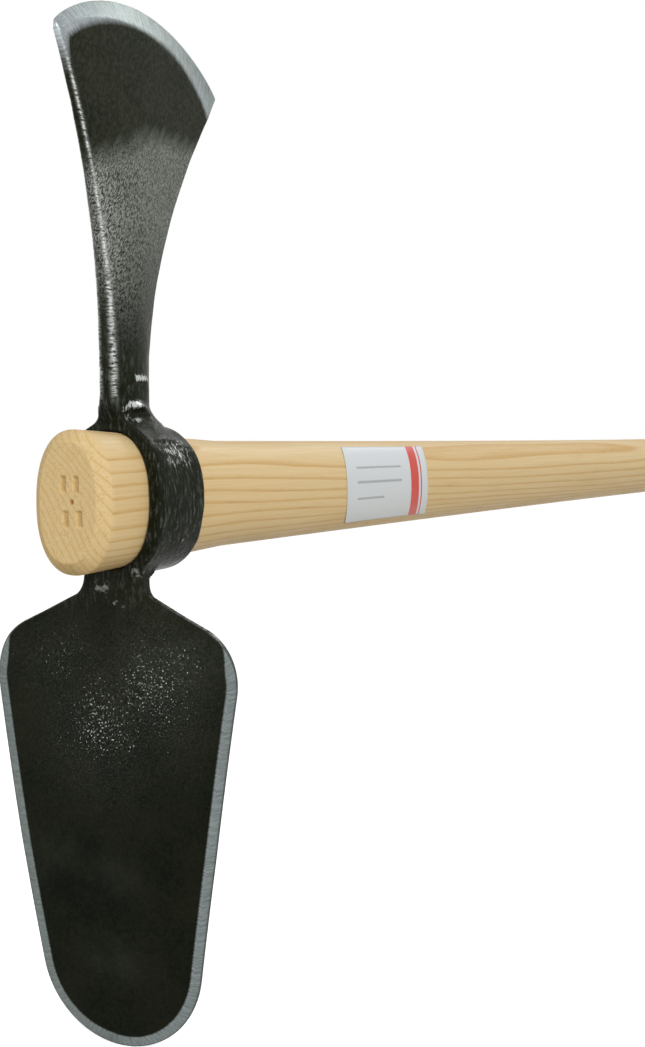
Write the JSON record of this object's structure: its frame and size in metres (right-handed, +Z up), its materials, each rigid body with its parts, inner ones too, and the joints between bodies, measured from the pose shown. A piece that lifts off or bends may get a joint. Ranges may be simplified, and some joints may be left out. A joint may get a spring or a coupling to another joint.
{
  "type": "mattock",
  "caption": "Planting mattock with a forged head that joins an axe blade and a spade-shaped hoe blade at an oval eye, on a straight tapered ash handle with a paper label.",
  "frame": {"origin": "centre of the flat end face at the thick top end of the handle", "axes": "+Y down the handle from the eye end to the butt, +Z up to the axe edge, X across the hoe blade"},
  "size_m": [0.1158, 0.957, 0.4281],
  "materials": {
    "forged_steel": "black forge scale under a thin lacquer, with bright ground bevels",
    "ash_wood": "turned and sanded ash with a thin clear oil",
    "label_paper": "smooth white coated paper"
  },
  "bodies": {
    "handle": {"ash_handle": "ash_wood", "paper_label": "label_paper"},
    "head": {"forged_head": "forged_steel"}
  },
  "joints": [
    {"name": "head_slide", "type": "slide", "parent": "handle", "child": "head", "axis": [0, 1, 0], "range_m": [0, 0.93]}
  ]
}
